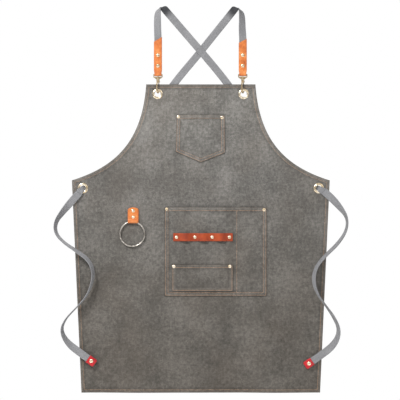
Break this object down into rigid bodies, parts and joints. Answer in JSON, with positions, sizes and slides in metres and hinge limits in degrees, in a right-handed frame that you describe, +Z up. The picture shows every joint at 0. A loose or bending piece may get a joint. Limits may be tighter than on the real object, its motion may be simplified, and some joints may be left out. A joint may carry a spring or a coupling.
{
  "type": "work apron",
  "caption": "Canvas bib apron hanging by crossed webbing straps, with snap hooks, patch pockets, leather tool loops and a towel ring.",
  "frame": {"origin": "midway between the two strap arches, just under their tops", "axes": "+X to the viewer's right, +Y from the pocket side to the back, +Z up"},
  "size_m": [0.8007, 0.035, 1.0568],
  "materials": {
    "canvas": "washed, faded canvas, worn at seams",
    "webbing": "grey woven cotton webbing",
    "strap_leather": "smooth red-brown leather",
    "tab_leather": "smooth orange-tan leather",
    "tip_leather": "smooth red leather",
    "rivet_metal": "pale gold, polished",
    "eyelet_metal": "champagne plated, satin",
    "hook_metal": "pale gold plated, polished",
    "ring_metal": "nickel plated, polished",
    "pin_steel": "plain steel"
  },
  "bodies": {
    "root": {"apron_panel": "canvas", "chest_pocket": "canvas", "tool_pocket": "canvas", "card_pocket": "canvas", "strap_front_left": "webbing", "strap_front_right": "webbing", "strap_arch_left": "webbing", "strap_arch_right": "webbing", "strap_back_left": "webbing", "strap_back_right": "webbing", "waist_tie_left": "webbing", "waist_tie_right": "webbing", "tool_strap": "strap_leather", "towel_tab": "tab_leather", "hook_tab_left": "tab_leather", "hook_tab_right": "tab_leather", "tie_tip_left": "tip_leather", "tie_tip_right": "tip_leather", "tool_strap_rivets": "rivet_metal", "chest_pocket_rivets": "rivet_metal", "tool_pocket_rivets": "rivet_metal", "card_pocket_rivets": "rivet_metal", "towel_tab_rivets": "rivet_metal", "hook_tab_rivets_left": "rivet_metal", "hook_tab_rivets_right": "rivet_metal", "tie_tip_rivet_left": "rivet_metal", "tie_tip_rivet_right": "rivet_metal", "eyelet_top_left": "eyelet_metal", "eyelet_top_right": "eyelet_metal", "eyelet_waist_left": "eyelet_metal", "eyelet_waist_right": "eyelet_metal", "washer_top_left": "eyelet_metal", "washer_top_right": "eyelet_metal", "washer_waist_left": "eyelet_metal", "washer_waist_right": "eyelet_metal", "hook_eye_left": "hook_metal", "hook_eye_right": "hook_metal"},
    "towel_ring": {"towel_ring": "ring_metal"},
    "left_hook": {"hook_body_left": "hook_metal", "hook_gate_pin_left": "pin_steel", "hook_spring_left": "pin_steel"},
    "left_gate": {"hook_gate_left": "hook_metal"},
    "right_hook": {"hook_body_right": "hook_metal", "hook_gate_pin_right": "pin_steel", "hook_spring_right": "pin_steel"},
    "right_gate": {"hook_gate_right": "hook_metal"}
  },
  "joints": [
    {"name": "towel_ring_swing", "type": "hinge", "parent": "root", "child": "towel_ring", "pos_m": [-0.187, -0.0052, -0.5777], "axis": [-1, 0, 0], "range_deg": [0, 90]},
    {"name": "left_hook_swivel", "type": "hinge", "parent": "root", "child": "left_hook", "pos_m": [-0.117, 0, -0.19], "axis": [0, 0, 1], "range_deg": [-5, 45]},
    {"name": "left_hook_gate", "type": "hinge", "parent": "left_hook", "child": "left_gate", "pos_m": [-0.11543, 0.00432, -0.1956], "axis": [-0.9397, 0.342, 0], "range_deg": [0, 20], "stiffness_Nm_per_rad": 0.01, "springref_deg": -20.05},
    {"name": "right_hook_swivel", "type": "hinge", "parent": "root", "child": "right_hook", "pos_m": [0.1145, 0, -0.19], "axis": [0, 0, 1], "range_deg": [-5, 45]},
    {"name": "right_hook_gate", "type": "hinge", "parent": "right_hook", "child": "right_gate", "pos_m": [0.11607, 0.00432, -0.1956], "axis": [-0.9397, 0.342, 0], "range_deg": [0, 20], "stiffness_Nm_per_rad": 0.01, "springref_deg": -20.05}
  ]
}
